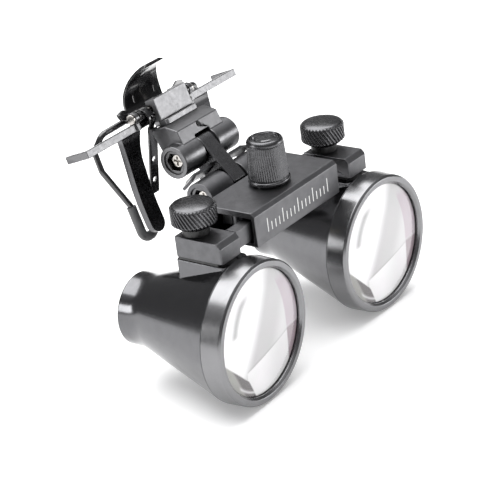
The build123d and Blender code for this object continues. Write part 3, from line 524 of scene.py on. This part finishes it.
for side, s in SIDES:
    place = optic_place(s)
    bulge = [(GROUP_R * k / 80, 0.42 + 0.95 * (k / 80) ** 2) for k in range(81)]
    group = lathe(f"{side}_glass_group", bulge[::-1], place, f"{side}_optic", "coated_glass", segments=240)
    # the tone attribute holds the painted reflections, painted shade and painted glints
    tones = group.data.color_attributes.new("tone", "FLOAT_COLOR", "POINT")
    values = []
    for v in group.data.vertices:
        values += [*painted_lens_light(v.co.x / MM - s * RIM_X, v.co.z / MM - AXIS_Z), 1.0]
    tones.data.foreach_set("color", values)
    paint(group, PAINTED_REFLECTIONS)
    radii = [LENS_R * k / 40 for k in range(41)]
    front = [(r, LENS_FRONT + DOME_R - (DOME_R ** 2 - r ** 2) ** 0.5) for r in radii]
    lens = lathe(f"{side}_objective_dome", front + [(LENS_R, LENS_REAR), (0, LENS_REAR)], place, f"{side}_optic",
                 "coated_glass", segments=200)
    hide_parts(f"{side}_objective")

# =====================================================================================
# Printed scale on the bridge's front: plain graduation ticks
# =====================================================================================
ticks = bmesh.new()
TICK_COUNT, TICK_STEP, FRONT_Y, TICK_LOW = 17, 1.5, -35.3, -3.9
for k in range(TICK_COUNT):
    x = (k - TICK_COUNT // 2) * TICK_STEP
    height = 3.4 if k % 4 == 0 else 2.0
    matrix = Matrix.Translation(Vector((x, FRONT_Y - 0.005, TICK_LOW + height / 2)) * MM)
    bmesh.ops.create_cube(ticks, size=1.0, matrix=matrix @ Matrix.Diagonal((0.28 * MM, 0.03 * MM, height * MM, 1)))
scale_marks = solid("bridge_scale_marks", ticks, "bridge", "bead_blasted_black", smooth_faces=False)
paint(scale_marks, PRINT_WHITE)

# =====================================================================================
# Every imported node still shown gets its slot's finish
# =====================================================================================
for name, node in nodes.items():
    if not node.hide_render:
        paint(node, MATERIALS[slot_of[name]])

# =====================================================================================
# Floor, lights and camera
# =====================================================================================
floor_mesh = bmesh.new()
bmesh.ops.create_grid(floor_mesh, x_segments=8, y_segments=8, size=3.0)
floor_data = bpy.data.meshes.new("floor")
floor_mesh.to_mesh(floor_data)
floor_mesh.free()
floor = bpy.data.objects.new("floor", floor_data)
bpy.context.scene.collection.objects.link(floor)
floor.location.z = cad_box[0][2] - 0.0001
paper = Graph("pale_paper")
paper_shade = paper.noise(40.0, detail=2.0)
paper.put(paper.shader.inputs["Base Color"], paper.mix(paper.span(paper_shade, 0.3, 0.7, 0.0, 1.0),
                                                       (0.9, 0.9, 0.9), (0.92, 0.92, 0.92)))
paper.put(paper.shader.inputs["Roughness"], 0.9)
paper.put(paper.shader.inputs["Emission Color"], (1.0, 1.0, 1.0))
paper.shader.inputs["Emission Strength"].default_value = 0.22
paint(floor, paper.material)

world = bpy.data.worlds.new("studio")
bpy.context.scene.world = world
world.use_nodes = True
wt = world.node_tree
sky = wt.nodes["Background"]
ramp = wt.nodes.new("ShaderNodeValToRGB")
split = wt.nodes.new("ShaderNodeSeparateXYZ")
where = wt.nodes.new("ShaderNodeTexCoord")
wt.links.new(where.outputs["Generated"], split.inputs[0])
wt.links.new(split.outputs["Z"], ramp.inputs[0])
ramp.color_ramp.elements[0].position = 0.0
ramp.color_ramp.elements[0].color = (0.9, 0.9, 0.9, 1)
ramp.color_ramp.elements[1].position = 1.0
ramp.color_ramp.elements[1].color = (1.0, 1.0, 1.0, 1)
for position, value in ((0.05, 0.25), (0.5, 0.22), (0.75, 0.7)):
    ramp.color_ramp.elements.new(position).color = (value, value, value * 1.02, 1)
wt.links.new(ramp.outputs[0], sky.inputs["Color"])
sky.inputs["Strength"].default_value = 1.0


def area_light(name, where, target, size, power):
    data = bpy.data.lights.new(name, "AREA")
    data.shape = "RECTANGLE"
    data.size, data.size_y = size
    data.energy = power
    lamp = bpy.data.objects.new(name, data)
    bpy.context.scene.collection.objects.link(lamp)
    lamp.location = where
    lamp.rotation_mode = "QUATERNION"
    lamp.rotation_quaternion = (Vector(target) - Vector(where)).to_track_quat("-Z", "Y")


area_light("overhead", (0.05, 0.2, 0.8), (0, -0.01, 0), (1.1, 1.1), 15.0)
area_light("front_right_box", (0.66, -0.69, 0.06), (0, -0.02, 0.01), (0.4, 0.3), 2.4)
area_light("back_left_box", (-0.62, 0.52, 0.17), (0, -0.02, -0.02), (0.24, 0.24), 1.3)

LENS_MM, CAMERA_AT = 139.4, (-0.32474, -0.28669, 0.17547)
CAMERA_TURN = (-50.525, 24.553, -7.535)      # azimuth, elevation and roll, in degrees
camera_data = bpy.data.cameras.new("camera")
camera_data.sensor_width = 36.0
camera_data.lens = LENS_MM
camera_data.clip_start, camera_data.clip_end = 0.01, 20.0
camera = bpy.data.objects.new("camera", camera_data)
bpy.context.scene.collection.objects.link(camera)
azimuth, elevation, roll = (radians(angle) for angle in CAMERA_TURN)
back = Vector((sin(azimuth) * cos(elevation), -cos(azimuth) * cos(elevation), sin(elevation)))
right = (-back).cross(Vector((0, 0, 1))).normalized()
up = right.cross(-back)
rolled_right = right * cos(roll) + up * sin(roll)
rolled_up = up * cos(roll) - right * sin(roll)
camera.matrix_world = (Matrix.Translation(CAMERA_AT)
                       @ Matrix((rolled_right, rolled_up, back)).transposed().to_4x4())
bpy.context.scene.camera = camera
bpy.context.scene.view_settings.view_transform = "Standard"
